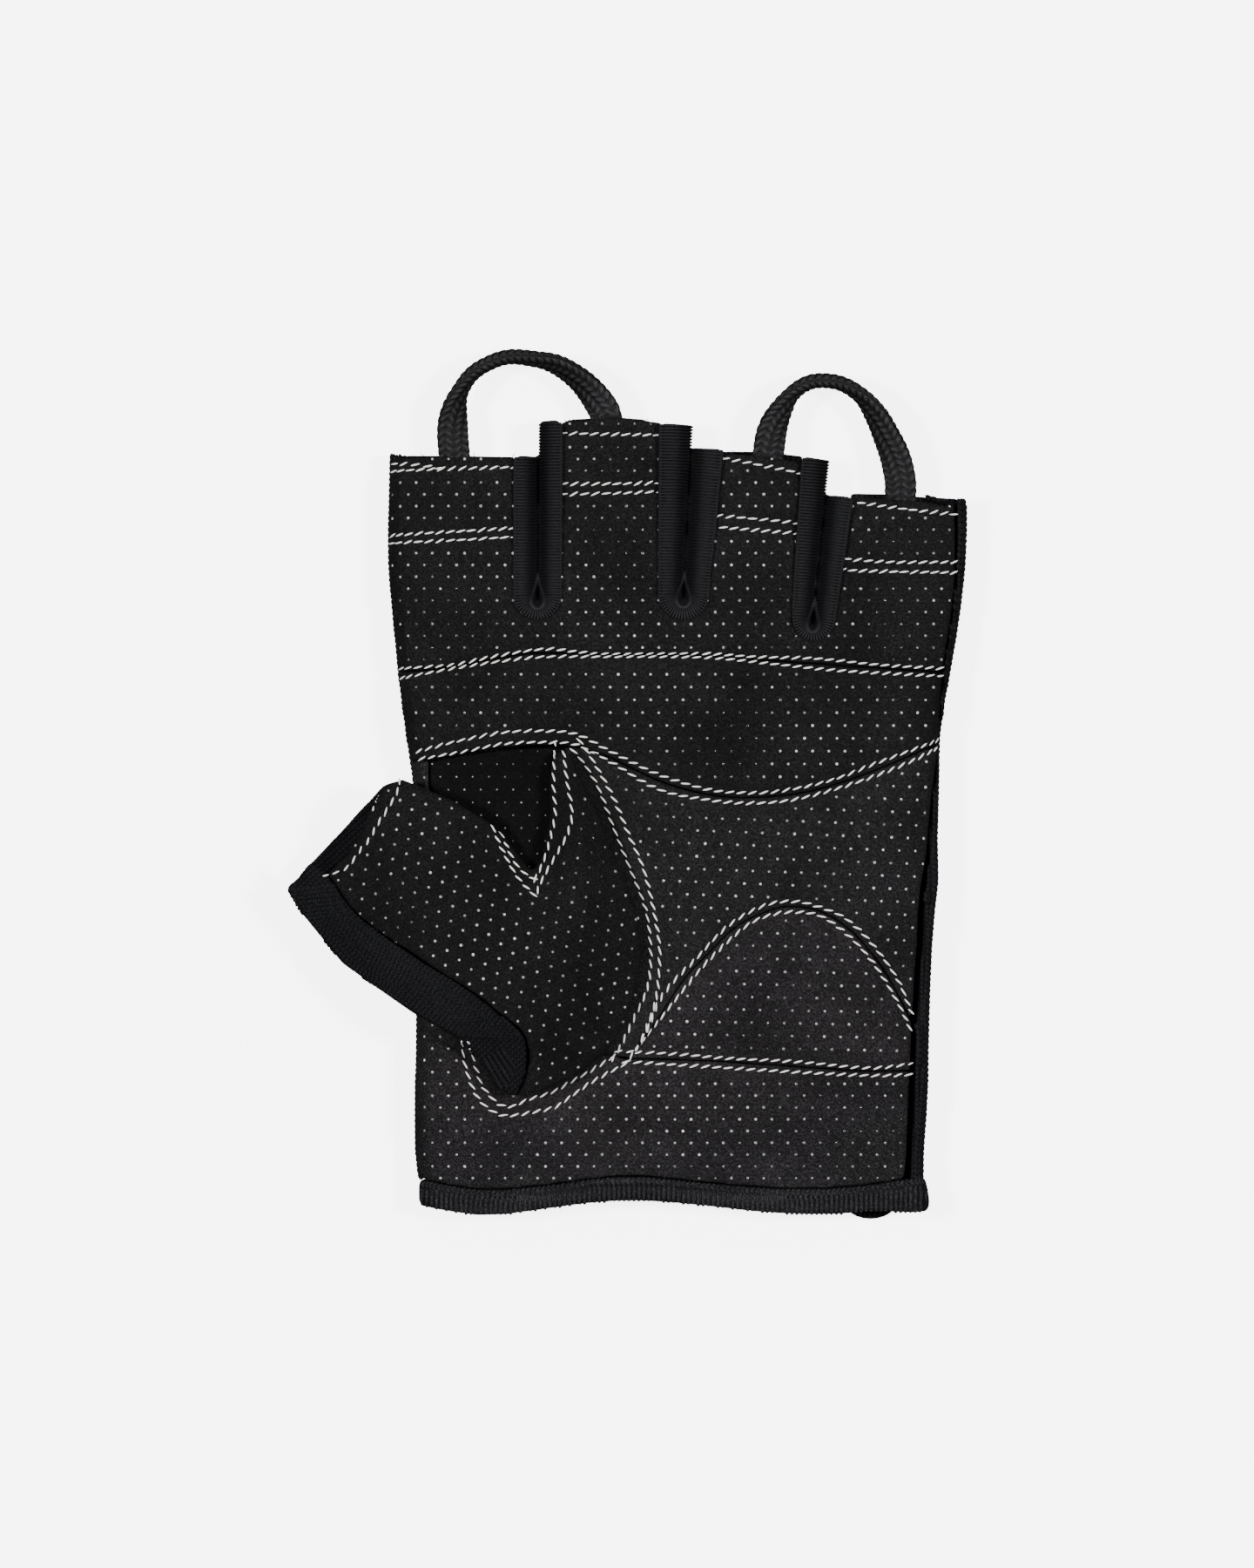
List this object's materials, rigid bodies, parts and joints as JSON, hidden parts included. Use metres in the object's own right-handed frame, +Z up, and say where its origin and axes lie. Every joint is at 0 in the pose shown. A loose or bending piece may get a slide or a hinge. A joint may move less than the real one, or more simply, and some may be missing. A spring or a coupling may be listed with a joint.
{
  "type": "weightlifting glove",
  "caption": "Fingerless training glove for the left hand, with a dotted grip palm, padded seams, pull loops between the fingers and a short open thumb.",
  "frame": {"origin": "under the middle of the glove's box, on the surface that its back rests on", "axes": "+X from the index finger to the little finger, +Y from the wrist to the fingers, +Z up out of the palm"},
  "size_m": [0.121, 0.1546, 0.0206],
  "materials": {
    "palm_cloth": "woven cloth with raised glossy silicone dots",
    "knit": "matte plain knit",
    "ribbed_tape": "matte ribbed tape",
    "binding_knit": "heathered rib knit",
    "braid": "flat braided tape"
  },
  "bodies": {
    "root": {"back_panel": "knit", "finger_panel": "palm_cloth", "knuckle_pad": "palm_cloth", "heel_pad": "palm_cloth", "wrist_panel": "palm_cloth", "palm_panel": "palm_cloth", "fourchette_index": "ribbed_tape", "fourchette_middle": "ribbed_tape", "fourchette_ring": "ribbed_tape", "thumb_band": "knit", "thumb_panel": "palm_cloth", "thumb_gusset": "palm_cloth", "wrist_binding": "binding_knit", "wrist_tab": "binding_knit", "loop_index": "braid", "loop_ring": "braid"}
  },
  "joints": []
}
